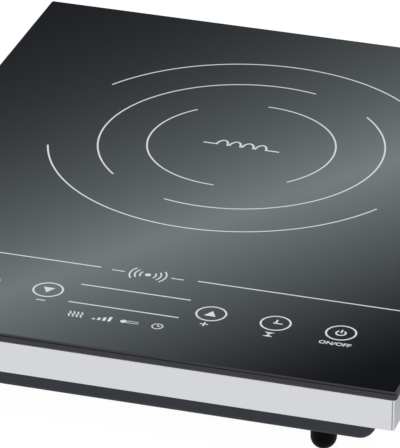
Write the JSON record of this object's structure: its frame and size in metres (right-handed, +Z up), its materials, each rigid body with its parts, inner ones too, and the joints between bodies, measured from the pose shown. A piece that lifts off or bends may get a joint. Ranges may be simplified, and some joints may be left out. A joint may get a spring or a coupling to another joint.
{
  "type": "induction hob",
  "caption": "Free-standing single-zone induction hob: flat black glass plate on a brushed steel band, with a recessed pan, domed feet and touch keys along the front.",
  "frame": {"origin": "on the surface that the feet stand on, under the middle of the glass plate", "axes": "+X to the user's right, +Y to the back, +Z up"},
  "size_m": [0.3, 0.38, 0.0557],
  "materials": {
    "glass_ceramic": "polished black glass-ceramic",
    "brushed_stainless": "fine lengthwise brushing",
    "black_polymer": "satin moulded",
    "black_rubber": "matte moulded",
    "black_silicone": "cured bead",
    "grey_silicone": "matte moulded",
    "fan_polymer": "satin moulded",
    "white_polyamide": "satin moulded",
    "copper_litz": "enamelled copper strands",
    "ferrite": "sintered",
    "mica": "flaky sheet",
    "electrical_steel": "stamped laminations",
    "sensor_steel": "plated",
    "circuit_board": "solder mask",
    "extruded_aluminium": "extruded",
    "black_epoxy": "moulded",
    "capacitor_case": "moulded case"
  },
  "bodies": {
    "housing": {"base_pan": "black_polymer", "bridge_rectifier": "black_epoxy", "choke_coil": "copper_litz", "coil_buffers": "grey_silicone", "coil_carrier": "white_polyamide", "coil_winding": "copper_litz", "control_board": "circuit_board", "control_tray": "fan_polymer", "cord_gland": "black_rubber", "display_module": "black_epoxy", "fan_frame": "fan_polymer", "fan_stator": "electrical_steel", "ferrite_bar_1": "ferrite", "ferrite_bar_2": "ferrite", "ferrite_bar_3": "ferrite", "ferrite_bar_4": "ferrite", "ferrite_bar_5": "ferrite", "ferrite_bar_6": "ferrite", "ferrite_bar_7": "ferrite", "ferrite_bar_8": "ferrite", "glass_ceramic_plate": "glass_ceramic", "heat_sink": "extruded_aluminium", "inlet_grille": "black_polymer", "interference_capacitor": "capacitor_case", "mains_fuse": "sensor_steel", "mica_sheet": "mica", "power_board": "circuit_board", "power_transistor": "black_epoxy", "resonance_capacitor": "capacitor_case", "rubber_feet": "black_rubber", "sensor_holder": "grey_silicone", "silicone_seal": "black_silicone", "smoothing_capacitor": "capacitor_case", "steel_frame": "brushed_stainless", "switching_transformer": "ferrite", "temperature_sensor": "sensor_steel", "terminal_block": "white_polyamide", "touch_contact_1": "sensor_steel", "touch_contact_2": "sensor_steel", "touch_contact_3": "sensor_steel", "touch_contact_4": "sensor_steel", "touch_contact_5": "sensor_steel"},
    "fan": {"fan_rotor": "fan_polymer"}
  },
  "joints": [
    {"name": "fan_spin", "type": "hinge", "parent": "housing", "child": "fan", "pos_m": [-0.0795, -0.0915, 0.0197], "axis": [0, 0, 1], "continuous": true}
  ]
}
